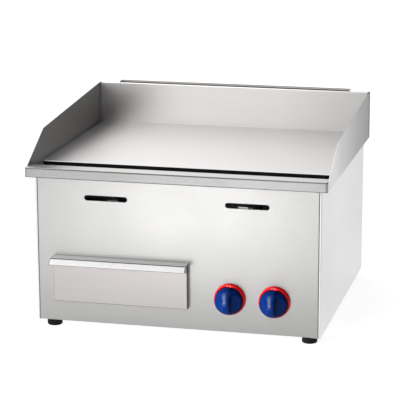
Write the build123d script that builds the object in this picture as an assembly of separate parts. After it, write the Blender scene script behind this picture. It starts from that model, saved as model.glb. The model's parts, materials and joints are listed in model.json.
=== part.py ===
from build123d import *
import math
import os

# Countertop gas griddle: a steel plate over two burners, in a folded stainless body.
# Millimetres. +X is the user's right, +Y runs from the front to the back, +Z is up.
# The origin is under the middle of the whole object, at the level it stands on.

# ---------------------------------------------------------------- driving dimensions
WIDTH = 550.0                # over the two side guards
OVERALL_DEPTH = 542.0        # drawer handle lip to the tip of the gas inlet
BODY_WIDTH = 525.0
BODY_DEPTH = 479.5
BODY_HEIGHT = 270.0
CLEARANCE_UNDER = 16.0       # floor to the body's lower edge
FASCIA_HEIGHT = 18.0
SPLASH_RISE = 91.0           # rear splash above the body
SHEET = 1.2                  # outer stainless sheet
LINER = 1.0                  # inner sheet
BEND = 2.5                   # bend radius of the folded sheet
GAP = 0.3                    # air between pieces that don't touch

PLATE_WIDTH = 540.0
PLATE_DEPTH = 379.5
PLATE_THICK = 10.0

HANDLE_REACH = 20.0          # handle lip ahead of the fascia
PANEL_SETBACK = 18.5         # front panel behind the fascia
LIP_DEPTH = 28.7             # flat lip behind the fascia
GUTTER_DEPTH = 66.1          # front to back, over the trough

DRAWER_X = -101.5
DRAWER_TRAVEL = 300.0
TRAY_WIDTH = 234.0
TRAY_LENGTH = 392.3
TRAY_HEIGHT = 64.0

VALVE_X = (98.5, 179.5)      # left and right valve
VALVE_Z = 78.4
KNOB_RADIUS = 24.8
BEZEL_RADIUS = 28.7
PUSH_TRAVEL = 3.0

BURNER_X = 125.0
BURNER_Z = 225.0
BURNER_TUBE = 13.0           # outer radius of a burner tube
BURNER_WALL = 1.5

FOOT_RADIUS = 14.0
FOOT_X = 238.5
FOOT_INSET = 26.5            # foot centre behind the front panel, and ahead of the back

INLET_X = 225.0
INLET_THREAD = 10.48         # half of a G 1/2 thread

RUNNING = 0.05               # radial clearance of a turning or sliding fit

# ---------------------------------------------------------------- levels and planes
X_TOP = WIDTH / 2
X_BODY = BODY_WIDTH / 2
X_INNER = X_BODY - SHEET

Y_FASCIA = -OVERALL_DEPTH / 2 + HANDLE_REACH
Y_PANEL = Y_FASCIA + PANEL_SETBACK
Y_BACK = Y_PANEL + BODY_DEPTH
Y_LIP = Y_FASCIA + LIP_DEPTH
Y_GUTTER = Y_LIP + 0.2
Y_GUTTER_BACK = Y_GUTTER + GUTTER_DEPTH
Y_PLATE = Y_FASCIA + 91.0
Y_PLATE_BACK = Y_PLATE + PLATE_DEPTH
Y_SPLASH = Y_FASCIA + 471.0
Y_SPLASH_BACK = Y_FASCIA + 484.7
Y_FLUE = Y_FASCIA + 477.9
Y_GUARD_BACK = Y_SPLASH - GAP
Y_BEVEL = Y_FASCIA + 108.6

Z_BODY = CLEARANCE_UNDER
Z_BASE = Z_BODY + SHEET
Z_TOP = Z_BODY + BODY_HEIGHT
Z_LIP = Z_TOP + FASCIA_HEIGHT
Z_PLATE = Z_TOP + SHEET
Z_SPLASH = Z_TOP + SPLASH_RISE
Z_BEVEL = Z_TOP + 68.5
Z_FLUE = Z_SPLASH + 2.0

SLOT_X = 129.5
SLOT_LENGTH = 80.0
SLOT_HEIGHT = 10.0
SLOT_Z = Z_TOP - 36.5

Z_BAR = BURNER_Z - BURNER_TUBE
Y_BARS = (Y_FASCIA + 115.0, Y_FASCIA + 430.0)
BAR_SIZE = 25.0
BAR_THICK = 2.0


# ---------------------------------------------------------------- helpers
def block(x0, x1, y0, y1, z0, z1):
    """Box between two corners."""
    middle = Pos((x0 + x1) / 2, (y0 + y1) / 2, (z0 + z1) / 2)
    return middle * Box(x1 - x0, y1 - y0, z1 - z0)


def rod_x(radius, x0, x1, y, z):
    """Round bar along X."""
    return Pos((x0 + x1) / 2, y, z) * Rot(0, 90, 0) * Cylinder(radius, x1 - x0)


def rod_y(radius, y0, y1, x, z):
    """Round bar along Y."""
    return Pos(x, (y0 + y1) / 2, z) * Rot(90, 0, 0) * Cylinder(radius, y1 - y0)


def rod_z(radius, z0, z1, x, y):
    """Round bar along Z."""
    return Pos(x, y, (z0 + z1) / 2) * Cylinder(radius, z1 - z0)


def hex_y(across_flats, y0, y1, x, z):
    """Hexagonal bar along Y."""
    face = RegularPolygon(across_flats / 2, 6, major_radius=False)
    return extrude(Plane((x, y0, z), x_dir=(1, 0, 0), z_dir=(0, 1, 0)) * face, y1 - y0)


def hex_z(across_flats, z0, z1, x, y):
    """Hexagonal bar along Z."""
    face = RegularPolygon(across_flats / 2, 6, major_radius=False)
    return extrude(Plane((x, y, z0)) * face, z1 - z0)


def sheet_face(points, thickness, bend):
    """Outline of a bent sheet: the points follow one skin, the metal lies on their left."""
    path = FilletPolyline(*points, radius=bend) if len(points) > 2 else Line(*points)
    return make_face(offset(path, thickness, side=Side.LEFT).edges())


def fold_x(points, x0, x1, thickness=SHEET, bend=BEND):
    """Sheet with a profile of (y, z) points, running along X."""
    return extrude(Plane.YZ.offset(x0) * sheet_face(points, thickness, bend), x1 - x0)


def fold_z(points, z0, z1, thickness=SHEET, bend=BEND):
    """Sheet with a profile of (x, y) points, running along Z."""
    return extrude(Plane.XY.offset(z0) * sheet_face(points, thickness, bend), z1 - z0)


def fold_y(points, y0, y1, thickness=SHEET, bend=BEND):
    """Sheet with a profile of (x, z) points, running along Y."""
    face = Plane((0, y0, 0), x_dir=(1, 0, 0), z_dir=(0, -1, 0)) * sheet_face(points, thickness, bend)
    return extrude(face, -(y1 - y0))


def turned_y(profile, x, z):
    """Solid of revolution about an axis along Y, from a closed profile of (radius, y) points."""
    face = make_face(Polyline(*profile, close=True))
    solid = revolve(face, Axis.Y)
    return Pos(x, 0, z) * solid


def turned_z(profile, x, y):
    """Solid of revolution about an axis along Z, from a closed profile of (radius, z) points."""
    face = Plane.XZ * make_face(Polyline(*profile, close=True))
    solid = revolve(face, Axis.Z)
    return Pos(x, y, 0) * solid


def mirrored(shape):
    """The same piece on the other side of the object."""
    return mirror(shape, about=Plane.YZ)


def group(solids):
    """Identical separate solids in one node."""
    return Compound(children=[part if isinstance(part, Solid) else part.solid() for part in solids])


# ---------------------------------------------------------------- body panels
FRONT_HALF = X_BODY - 5.5    # half width of the front panel, between the side panels' front edges
FLANGE = 9.5                 # return along the front panel's top and bottom
TAB = 13.0                   # backing strip behind the front panel's edges
PANEL_SCREWS = [Z_BODY + 24.0 + 75.0 * step for step in range(4)]
SCREW_X = X_BODY - 8.5
SCREW_HOLE = 2.1
BEZEL_SCREW = 16.0           # bezel screws, left and right of the valve's axis
TRAY_GAP = 2.0               # drawer tray to its opening, each side
FRONT_WIDTH = 248.0          # drawer front
FRONT_LOW = Z_TOP - 229.5
FRONT_HIGH = Z_TOP - 146.7
TRAY_Z = Z_BODY + 48.0


def front_panel():
    top, low = Z_TOP, Z_BODY
    profile = [(Y_PANEL + FLANGE, top), (Y_PANEL, top), (Y_PANEL, low), (Y_PANEL + FLANGE, low)]
    panel = fold_x(profile, -FRONT_HALF, FRONT_HALF)
    clear = FRONT_HALF - TAB - 1.0
    for side in (-1, 1):
        ends = sorted((side * clear, side * (FRONT_HALF + 1)))
        panel -= block(*ends, Y_PANEL + SHEET, Y_PANEL + 2 * FLANGE, low - 1, top + 1)
    half = TRAY_WIDTH / 2 + TRAY_GAP
    panel -= block(DRAWER_X - half, DRAWER_X + half, Y_PANEL - 1, Y_PANEL + SHEET + 1,
                   TRAY_Z - 4.0, TRAY_Z + TRAY_HEIGHT + 8.0)
    slot = Plane.XZ * SlotOverall(SLOT_LENGTH, SLOT_HEIGHT)
    for x in (-SLOT_X, SLOT_X):
        panel -= Pos(x, Y_PANEL + 5, SLOT_Z) * extrude(slot, 10)
    for x in VALVE_X:
        panel -= rod_y(7.0, Y_PANEL - 1, Y_PANEL + 5, x, VALVE_Z)
        for offset_x in (-BEZEL_SCREW, BEZEL_SCREW):
            panel -= rod_y(SCREW_HOLE, Y_PANEL - 1, Y_PANEL + 5, x + offset_x, VALVE_Z)
    return panel


def right_side_panel():
    profile = [(FRONT_HALF + 0.4, Y_PANEL), (X_BODY, Y_PANEL), (X_BODY, Y_BACK - SHEET),
               (X_BODY - 16.5, Y_BACK - SHEET)]
    panel = fold_z(profile, Z_BODY, Z_TOP)
    panel += block(FRONT_HALF - TAB, FRONT_HALF + 2.5, Y_PANEL + SHEET, Y_PANEL + 2 * SHEET,
                   Z_BODY, Z_TOP)
    panel += block(X_BODY - 9.5, X_INNER + 0.4, Y_PANEL + 16, Y_BACK - 16, Z_BODY, Z_BASE)
    panel -= block(0, X_INNER, Y_BACK - 10, Y_BACK, Z_TOP - 3.0, Z_TOP + 1)
    for z in PANEL_SCREWS:
        panel -= rod_y(SCREW_HOLE, Y_BACK - 8, Y_BACK, SCREW_X, z)
    return panel


VENT_ROWS = 5
VENT_PITCH = 14.0


def rear_panel():
    half = X_BODY - 0.5
    profile = [(Y_BACK, Z_BODY), (Y_BACK, Z_TOP), (Y_FLUE + 0.6, Z_TOP)]
    panel = fold_x(profile, -half, half)
    for side in (-1, 1):
        ends = sorted((side * (X_INNER - GAP), side * X_BODY))
        panel -= block(*ends, Y_FLUE - 5, Y_BACK - SHEET, Z_TOP - 5, Z_TOP + 1)
    panel -= block(-FLUE_HALF - GAP, FLUE_HALF + GAP, Y_FLUE - 5, Y_BACK - SHEET, Z_TOP - 5, Z_TOP + 1)
    panel -= rod_y(INLET_THREAD + 0.1, Y_BACK - 5, Y_BACK + 1, INLET_X, VALVE_Z)
    vent = Plane.XZ * SlotOverall(70.0, 5.0)
    for bank in (-140.0, 0.0, 140.0):
        for row in range(VENT_ROWS):
            height = Z_BODY + 130.0 + row * VENT_PITCH
            panel -= Pos(bank, Y_BACK + 2, height) * extrude(vent, 6)
    for x in (-SCREW_X, SCREW_X):
        for z in PANEL_SCREWS:
            panel -= rod_y(SCREW_HOLE, Y_BACK - 5, Y_BACK + 1, x, z)
    return panel


def rear_panel_screws():
    screws = []
    for x in (-SCREW_X, SCREW_X):
        for z in PANEL_SCREWS:
            head = rod_y(3.8, Y_BACK, Y_BACK + 2.4, x, z)
            head = fillet(head.edges().sort_by(Axis.Y)[-1], 1.4)
            head -= block(x - 0.5, x + 0.5, Y_BACK + 1.4, Y_BACK + 3, z - 2.2, z + 2.2)
            head -= block(x - 2.2, x + 2.2, Y_BACK + 1.4, Y_BACK + 3, z - 0.5, z + 0.5)
            screws.append(head + rod_y(SCREW_HOLE - 0.15, Y_BACK - 8, Y_BACK, x, z))
    return group(screws)


AIR_OPENINGS = ((-215.0, -85.0), (-65.0, 65.0), (85.0, 205.0))


def foot_places():
    return [(x, y) for x in (-FOOT_X, FOOT_X) for y in (Y_PANEL + FOOT_INSET, Y_BACK - FOOT_INSET)]


def base_pan():
    """Bottom sheet with air openings and a weld nut over each foot."""
    y0, y1 = Y_PANEL + 2 * SHEET + GAP, Y_BACK - 4.2
    pan = block(-X_INNER, X_INNER, y0, y1, Z_BASE, Z_BASE + SHEET)
    for side in (-1, 1):
        ends = sorted((side * (X_INNER - SHEET), side * X_INNER))
        pan += block(*ends, y0 + 16, y1 - 16, Z_BASE, Z_BASE + 14)
    for x0, x1 in AIR_OPENINGS:
        pan -= block(x0, x1, Y_FASCIA + 130, Y_FASCIA + 350, Z_BODY, Z_BODY + 10)
    for x, y in foot_places():
        pan += hex_z(10.0, Z_BASE + SHEET, Z_BASE + SHEET + 5, x, y)
        pan -= rod_z(3.05, Z_BASE - 1, Z_BASE + 10, x, y)
    return pan


def rubber_feet():
    feet = []
    for x, y in foot_places():
        profile = [(3.3, Z_BASE), (12.6, Z_BASE), (FOOT_RADIUS, 5.0), (FOOT_RADIUS, 2.6),
                   (FOOT_RADIUS - 0.8, 0.8), (FOOT_RADIUS - 2.6, 0.0), (7.5, 0.0), (7.5, 8.0), (3.3, 8.0)]
        feet.append(turned_z(profile, x, y))
    return group(feet)


def foot_screws():
    screws = []
    for x, y in foot_places():
        screws.append(rod_z(5.5, 4.4, 8.0, x, y) + rod_z(3.0, 8.0, Z_BASE + 12, x, y))
    return group(screws)


# ---------------------------------------------------------------- top: fascia, guards, splash, flue
CORNER = 4.0                 # rounded ends of the fascia
WRAP = 6.0                   # how far the fascia's ends wrap round to the guards
FLUE_HALF = 235.0
FLUE_LOW = Z_TOP - 51.0


def front_surround():
    half = X_TOP - SHEET - 0.1
    plan = Pos(0, Y_FASCIA + WRAP / 2) * Rectangle(WIDTH, WRAP)
    plan = fillet(plan.vertices().sort_by(Axis.Y)[:2], CORNER)
    shell = extrude(Plane.XY.offset(Z_TOP) * plan, FASCIA_HEIGHT)
    shell += block(-half, half, Y_FASCIA + WRAP, Y_LIP, Z_TOP, Z_LIP)
    rim = [edge for edge in shell.edges().filter_by_position(Axis.Z, Z_LIP, Z_LIP)
           if edge.center().Y < Y_FASCIA + CORNER]
    shell = fillet(rim, 1.5)
    hollow_plan = Pos(0, Y_FASCIA + SHEET + WRAP / 2) * Rectangle(WIDTH - 2 * SHEET, WRAP)
    hollow_plan = fillet(hollow_plan.vertices().sort_by(Axis.Y)[:2], CORNER - SHEET)
    inside = extrude(Plane.XY.offset(Z_TOP) * hollow_plan, FASCIA_HEIGHT - SHEET)
    inside += block(-half + SHEET, half - SHEET, Y_FASCIA + WRAP, Y_LIP - SHEET, Z_TOP, Z_LIP - SHEET)
    shell -= inside
    shell -= block(-half - 1, half + 1, Y_LIP - SHEET, Y_LIP + 1, Z_TOP - 1, Z_TOP + 4)
    shell += block(-half + SHEET, half - SHEET, Y_FASCIA + SHEET, Y_FASCIA + 20, Z_TOP, Z_TOP + SHEET)
    return shell


def right_splash_guard():
    """Side guard with a floor flange and a bar along its foot that fills the seam beside the plate."""
    outline = Polyline(
        (Y_FASCIA + WRAP + GAP, Z_TOP), (Y_GUARD_BACK, Z_TOP), (Y_GUARD_BACK, Z_SPLASH),
        (Y_BEVEL, Z_BEVEL), (Y_FASCIA + 13.2, Z_LIP + 0.3), (Y_FASCIA + WRAP + GAP, Z_LIP - 0.5),
        close=True)
    guard = extrude(Plane.YZ.offset(X_TOP - SHEET) * make_face(outline), SHEET)
    guard += block(X_INNER, X_TOP, Y_LIP + 1.5, Y_GUARD_BACK, Z_TOP, Z_TOP + SHEET)
    seam = PLATE_WIDTH / 2 + GAP
    guard += block(seam, X_TOP, Y_PLATE, Y_GUARD_BACK, Z_TOP, Z_PLATE + PLATE_THICK - 1.0)
    return guard


def rear_splash():
    sides = [(-X_TOP, Y_SPLASH_BACK), (-X_TOP, Y_SPLASH), (X_TOP, Y_SPLASH), (X_TOP, Y_SPLASH_BACK)]
    splash = fold_z(sides, Z_TOP, Z_SPLASH)
    inner = X_TOP - SHEET
    behind = Y_SPLASH + SHEET / 2
    for z0 in (Z_TOP, Z_SPLASH - SHEET):
        splash += block(-inner + BEND, inner - BEND, behind, Y_FLUE - GAP, z0, z0 + SHEET)
        for side in (-1, 1):
            ends = sorted((side * (FLUE_HALF + 2 * GAP), side * (inner + SHEET / 2)))
            splash += block(*ends, Y_FLUE - GAP - 1, Y_SPLASH_BACK, z0, z0 + SHEET)
    rim = [edge for edge in splash.edges().filter_by_position(Axis.Z, Z_SPLASH, Z_SPLASH)
           if abs(edge.center().Y - Y_SPLASH) < 0.01]
    return fillet(rim, 0.5)


def flue_duct():
    back = Y_BACK - SHEET
    low_front = Y_SPLASH - 4.0
    duct = block(-FLUE_HALF, FLUE_HALF, Y_FLUE, back, Z_TOP - 5, Z_FLUE)
    duct += block(-FLUE_HALF, FLUE_HALF, low_front, back, FLUE_LOW, Z_TOP - 4)
    inner = FLUE_HALF - LINER
    duct -= block(-inner, inner, Y_FLUE + LINER, back - LINER, FLUE_LOW + LINER, Z_FLUE + 1)
    duct -= block(-inner, inner, low_front - 1, Y_FLUE + 2 * LINER, FLUE_LOW + LINER, Z_TOP - 4 - LINER)
    duct -= block(-FLUE_HALF - 1, FLUE_HALF + 1, Y_FLUE - 1, Y_FLUE + LINER, Z_SPLASH - 0.5, Z_FLUE + 1)
    return duct


# ---------------------------------------------------------------- plate, gutter and drain
DRAIN_X = -30.0
DRAIN_Y = Y_FASCIA + 74.5
DRAIN_RADIUS = 14.0
GUTTER_HALF = X_INNER - 2.3
Z_GUTTER = Z_TOP - 20.0


def griddle_plate():
    plate = block(-PLATE_WIDTH / 2, PLATE_WIDTH / 2, Y_PLATE, Y_PLATE_BACK, Z_PLATE, Z_PLATE + PLATE_THICK)
    upright = plate.edges().filter_by(Axis.Z)
    plate = fillet(upright, 2.0)
    top_edges = plate.faces().sort_by(Axis.Z)[-1].edges()
    return chamfer(top_edges, 0.8)


def right_plate_rail():
    outer = X_INNER
    profile = [(outer, Z_TOP - 24), (outer, Z_PLATE), (outer - 20, Z_PLATE)]
    return fold_y(profile, Y_GUTTER_BACK + 10, Y_PLATE_BACK - 6, thickness=2.0, bend=3.0)


def grease_gutter():
    profile = [(Y_GUTTER, Z_LIP - 4), (Y_GUTTER, Z_GUTTER), (Y_GUTTER_BACK, Z_GUTTER),
               (Y_GUTTER_BACK, Z_PLATE - SHEET), (Y_GUTTER_BACK + 8, Z_PLATE - SHEET)]
    gutter = fold_x(profile, -GUTTER_HALF, GUTTER_HALF)
    for side in (-1, 1):
        ends = sorted((side * (GUTTER_HALF - SHEET), side * GUTTER_HALF))
        gutter += block(*ends, Y_GUTTER + SHEET / 2, Y_GUTTER_BACK - SHEET / 2, Z_GUTTER + SHEET / 2, Z_TOP - 0.5)
    return gutter - rod_z(DRAIN_RADIUS + 0.1, Z_GUTTER - 1, Z_GUTTER + 5, DRAIN_X, DRAIN_Y)


def drain_pipe():
    floor = Z_GUTTER + SHEET
    tube = rod_z(DRAIN_RADIUS, TRAY_Z + TRAY_HEIGHT + 12, floor + SHEET, DRAIN_X, DRAIN_Y)
    flange = rod_z(DRAIN_RADIUS + 3, floor, floor + SHEET, DRAIN_X, DRAIN_Y)
    return tube + flange - rod_z(DRAIN_RADIUS - 1, 0, Z_LIP, DRAIN_X, DRAIN_Y)


# ---------------------------------------------------------------- combustion space
BOX_HALF = 240.0
BOX_FRONT = Y_FASCIA + 105.0
BOX_BACK = Y_SPLASH - 5.0


def combustion_box():
    top = Z_TOP - 2.0
    box = block(-BOX_HALF, BOX_HALF, BOX_FRONT, BOX_BACK, Z_BAR, top)
    box -= block(-BOX_HALF + LINER, BOX_HALF - LINER, BOX_FRONT + LINER, BOX_BACK - LINER, Z_BAR - 1, top + 1)
    box -= block(-FLUE_HALF + 4, FLUE_HALF - 4, BOX_BACK - 3, BOX_BACK + 1, FLUE_LOW + 3, Z_TOP - 8)
    slot = Plane.XZ * SlotOverall(SLOT_LENGTH, 14.0)
    for x in (-BURNER_X, BURNER_X):
        box -= rod_y(BURNER_TUBE + 0.5, BOX_FRONT - 1, BOX_FRONT + 3, x, BURNER_Z)
        box -= block(x - BURNER_TUBE - 0.5, x + BURNER_TUBE + 0.5, BOX_FRONT - 1, BOX_FRONT + 3,
                     Z_BAR - 1, BURNER_Z)
        box -= Pos(x, BOX_FRONT + 3, BURNER_Z + 30) * extrude(slot, 6)
    return box


def burner_bar(y):
    """Angle bar across the body, welded to the side panels at its ends."""
    profile = [(y + BAR_SIZE, Z_BAR), (y, Z_BAR), (y, Z_BAR - BAR_SIZE)]
    return fold_x(profile, -X_INNER, X_INNER, thickness=BAR_THICK, bend=3.0)


def drawer_heat_shield():
    z = Z_BAR - BAR_SIZE
    right_edge = DRAWER_X + 140
    profile = [(right_edge, z - 20), (right_edge, z), (-X_INNER, z), (-X_INNER, z - 12)]
    return fold_y(profile, Y_BARS[0] - 8, Y_BARS[1] + BAR_SIZE)


BURNER_FRONT = Y_FASCIA + 68.0
BURNER_HEAD = (Y_FASCIA + 128.0, Y_FASCIA + 442.0)
BURNER_SPREAD = 42.0
PORT_COUNT = 22
PORT_PITCH = 12.0
SHUTTER_Y = (BURNER_FRONT + 3.0, BURNER_FRONT + 22.0)


def burner_tubes(x, radius, ends):
    """Ladder of two long tubes, two cross tubes and the mixing tube, as solid bars."""
    y0, y1 = BURNER_HEAD
    body = rod_y(radius, BURNER_FRONT - ends, y0 + BURNER_TUBE, x, BURNER_Z)
    for side in (-1, 1):
        body += rod_y(radius, y0 + ends, y1 - ends, x + side * BURNER_SPREAD, BURNER_Z)
    for y in (y0 + BURNER_TUBE, y1 - BURNER_TUBE):
        body += rod_x(radius, x - BURNER_SPREAD, x + BURNER_SPREAD, y, BURNER_Z)
    return body


def air_windows(x, radius):
    """Cutter for the two air windows on the sides of the mixing tube or of its shutter."""
    y0, y1 = SHUTTER_Y
    return block(x - radius, x + radius, y0 + 4, y1 - 4, BURNER_Z - 5, BURNER_Z + 5)


def burner(x):
    body = burner_tubes(x, BURNER_TUBE, 0)
    body -= burner_tubes(x, BURNER_TUBE - BURNER_WALL, BURNER_WALL)
    body -= air_windows(x, BURNER_TUBE + 2)
    top = BURNER_Z + BURNER_TUBE
    for side in (-1, 1):
        middle = x + side * BURNER_SPREAD
        for port in range(PORT_COUNT):
            y = BURNER_HEAD[0] + 31.0 + port * PORT_PITCH
            body -= block(middle - 7, middle + 7, y - 0.8, y + 0.8, top - 4, top + 1)
    return body


def air_shutter(x):
    ring = rod_y(BURNER_TUBE + 1.3, *SHUTTER_Y, x, BURNER_Z)
    crown = BURNER_Z + BURNER_TUBE
    ring += block(x - 4, x + 4, SHUTTER_Y[0], SHUTTER_Y[0] + 1.5, crown, crown + 8)
    ring -= rod_y(BURNER_TUBE + RUNNING, SHUTTER_Y[0] - 1, SHUTTER_Y[1] + 1, x, BURNER_Z)
    return ring - air_windows(x, BURNER_TUBE + 3)


HOLDER_Y = (Y_FASCIA + 47.0, Y_FASCIA + 61.0)
PIPE_Y = Y_FASCIA + 54.0
HOLDER_LOW = Z_BAR - 4.5


def injector_holder(x):
    """Drilled block on an arm that is welded to the front burner bar."""
    holder = block(x - 10, x + 10, *HOLDER_Y, HOLDER_LOW, BURNER_Z + 16)
    holder = fillet(holder.edges().filter_by(Axis.X).sort_by(Axis.Z)[-2:], 3.0)
    holder += block(x - 10, x + 10, HOLDER_Y[1] - 1, Y_BARS[0], HOLDER_LOW, HOLDER_LOW + 2)
    holder -= rod_z(3.0, HOLDER_LOW - 1, BURNER_Z, x, PIPE_Y)
    holder -= rod_y(3.5, PIPE_Y, HOLDER_Y[1] + 1, x, BURNER_Z)
    return holder


def injector(x):
    y = HOLDER_Y[1]
    body = hex_y(9.0, y, y + 4, x, BURNER_Z) + rod_y(3.4, y - 5, y, x, BURNER_Z)
    body += turned_y([(0, y + 4), (3.4, y + 4), (3.4, y + 8), (2.0, y + 10), (0, y + 10)], x, BURNER_Z)
    return body - rod_y(0.6, y - 6, y + 12, x, BURNER_Z)


# ---------------------------------------------------------------- gas line
MANIFOLD_Y = Y_FASCIA + 78.0
MANIFOLD_RADIUS = 9.0
MANIFOLD_END = Y_FASCIA + 118.0
OUTLET_TOP = VALVE_Z + 15.0
PIPE_RADIUS = 4.0


def tube(points, bend, outer, inner):
    """Bent pipe along straight runs joined by arcs."""
    path = FilletPolyline(*points, radius=bend)
    section = Plane(path @ 0, z_dir=path % 0)
    return sweep(section * Circle(outer), path=path) - sweep(section * Circle(inner), path=path)


def gas_pipe(valve_x, burner_x, level):
    start, end = OUTLET_TOP, HOLDER_LOW
    route = [(valve_x, PIPE_Y, start), (valve_x, PIPE_Y, level), (burner_x, PIPE_Y, level),
             (burner_x, PIPE_Y, end)]
    pipe = tube(route, 14.0, PIPE_RADIUS, PIPE_RADIUS - 1)
    for x, z0, z1 in ((valve_x, start, start + 7), (burner_x, end - 7, end)):
        pipe += hex_z(13.0, z0, z1, x, PIPE_Y) - rod_z(PIPE_RADIUS - 0.5, z0 - 1, z1 + 1, x, PIPE_Y)
    return pipe


def gas_manifold():
    corner = (INLET_X, MANIFOLD_Y, VALVE_Z)
    start = (VALVE_X[0] - 25, MANIFOLD_Y, VALVE_Z)
    pipe = tube([start, corner, (INLET_X, MANIFOLD_END, VALVE_Z)], 22.0, MANIFOLD_RADIUS, MANIFOLD_RADIUS - 1.5)
    pipe += rod_x(MANIFOLD_RADIUS, start[0], start[0] + 3, MANIFOLD_Y, VALVE_Z)
    for x in VALVE_X:
        pipe -= rod_y(6.05, MANIFOLD_Y - 12, MANIFOLD_Y, x, VALVE_Z)
    return pipe


def supply_pipe():
    end = Y_BACK - 27.0
    pipe = rod_y(MANIFOLD_RADIUS, MANIFOLD_END, end, INLET_X, VALVE_Z)
    pipe += hex_y(24.0, MANIFOLD_END, MANIFOLD_END + 16, INLET_X, VALVE_Z)
    pipe += hex_y(24.0, end - 14, end, INLET_X, VALVE_Z)
    return pipe - rod_y(MANIFOLD_RADIUS - 1.5, MANIFOLD_END - 1, end + 1, INLET_X, VALVE_Z)


def inlet_fitting():
    start = Y_BACK - 27.0
    body = hex_y(24.0, start, start + 12, INLET_X, VALVE_Z)
    body += rod_y(14.0, start + 12, Y_BACK - SHEET, INLET_X, VALVE_Z)
    body += rod_y(INLET_THREAD - 0.5, Y_BACK - SHEET, Y_BACK + 6, INLET_X, VALVE_Z)
    body += rod_y(INLET_THREAD, Y_BACK + 5.2, OVERALL_DEPTH / 2, INLET_X, VALVE_Z)
    tip = body.edges().filter_by(GeomType.CIRCLE).sort_by(Axis.Y)[-1]
    body = chamfer(tip, 0.8)
    return body - rod_y(7.5, start - 1, OVERALL_DEPTH / 2 + 1, INLET_X, VALVE_Z)


def inlet_locknut():
    nut = hex_y(27.0, Y_BACK, Y_BACK + 5.0, INLET_X, VALVE_Z)
    return nut - rod_y(INLET_THREAD + 0.02, Y_BACK - 1, Y_BACK + 7, INLET_X, VALVE_Z)


# ---------------------------------------------------------------- valves and knobs
VALVE_FRONT = Y_FASCIA + 30.0
VALVE_BACK = Y_FASCIA + 62.0
BORE = 7.0
PLUG_Y = (Y_FASCIA + 43.0, Y_FASCIA + 57.5)
CUP_Y = Y_FASCIA + 34.1
CUP_RADIUS = 6.4
STEM = 3.0
STEM_FRONT = Y_FASCIA - 6.0
TANG_Y = (Y_FASCIA + 42.5, Y_FASCIA + 47.5)
BONNET_SCREW = 12.5


def valve(x):
    body = rod_y(11.0, VALVE_FRONT, VALVE_BACK, x, VALVE_Z)
    body += block(x - 16.5, x + 16.5, VALVE_FRONT, VALVE_FRONT + 5, VALVE_Z - 7, VALVE_Z + 7)
    body += rod_y(6.0, VALVE_BACK - 1, MANIFOLD_Y - 7.0, x, VALVE_Z)
    body += rod_z(5.5, VALVE_Z + 4, OUTLET_TOP, x, PIPE_Y)
    body -= rod_y(BORE, VALVE_FRONT - 1, VALVE_BACK - 4, x, VALVE_Z)
    body -= rod_z(2.2, VALVE_Z + 2, OUTLET_TOP + 1, x, PIPE_Y)
    body -= rod_y(2.5, VALVE_BACK - 5, MANIFOLD_Y, x, VALVE_Z)
    for offset_x in (-BONNET_SCREW, BONNET_SCREW):
        body -= rod_y(1.6, VALVE_FRONT - 1, VALVE_FRONT + 6, x + offset_x, VALVE_Z)
    return body


def valve_bonnet(x):
    plate = block(x - 16.5, x + 16.5, VALVE_FRONT - 2.5, VALVE_FRONT, VALVE_Z - 9, VALVE_Z + 9)
    plate = fillet(plate.edges().filter_by(Axis.Y), 3.0)
    plate += rod_y(6.5, VALVE_FRONT - 4.5, VALVE_FRONT, x, VALVE_Z)
    plate -= rod_y(STEM + RUNNING, VALVE_FRONT - 6, VALVE_FRONT + 1, x, VALVE_Z)
    for offset_x in (-BONNET_SCREW, BONNET_SCREW):
        plate -= rod_y(1.6, VALVE_FRONT - 6, VALVE_FRONT + 1, x + offset_x, VALVE_Z)
    return plate


def valve_plug(x):
    y0, y1 = PLUG_Y
    plug = rod_y(BORE - RUNNING, y0, y1, x, VALVE_Z)
    plug -= rod_y(STEM + 0.1, y0 - 1, TANG_Y[0] + PUSH_TRAVEL + 0.8, x, VALVE_Z)
    plug -= block(x - 3.0, x + 3.0, y0 - 1, TANG_Y[1] + PUSH_TRAVEL + 0.8, VALVE_Z - 1.1, VALVE_Z + 1.1)
    return plug - rod_x(2.0, x - 9, x + 9, PIPE_Y, VALVE_Z)


def spring_cup(x):
    cup = rod_y(CUP_RADIUS, CUP_Y, CUP_Y + 3, x, VALVE_Z)
    cup -= rod_y(CUP_RADIUS - 0.8, CUP_Y + 1.2, CUP_Y + 4, x, VALVE_Z)
    return cup - rod_y(STEM + RUNNING, CUP_Y - 1, CUP_Y + 4, x, VALVE_Z)


def valve_spring(x):
    """Return spring between the cup and the plug."""
    length = PLUG_Y[0] - CUP_Y - 1.2 - 1.0
    coil = Helix(pitch=length / 3.5, height=length, radius=4.9)
    wire = sweep(Plane(coil @ 0, z_dir=coil % 0) * Circle(0.45), path=coil)
    return Pos(x, CUP_Y + 1.2 + 0.5, VALVE_Z) * Rot(-90, 0, 0) * wire


def valve_stem(x):
    stem = rod_y(STEM, STEM_FRONT, TANG_Y[0], x, VALVE_Z)
    stem += rod_y(4.4, CUP_Y - 1.1, CUP_Y - GAP, x, VALVE_Z)
    stem += block(x - 2.7, x + 2.7, *TANG_Y, VALVE_Z - 1, VALVE_Z + 1)
    return stem - block(x - 4, x + 4, STEM_FRONT - 1, STEM_FRONT + 13, VALVE_Z + 2.2, VALVE_Z + 4)


BEZEL_FRONT = Y_PANEL - 9.0
KNOB_BACK = Y_PANEL - 11.3
KNOB_SHOULDER = Y_FASCIA
KNOB_FRONT = Y_FASCIA - 17.0


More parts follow.
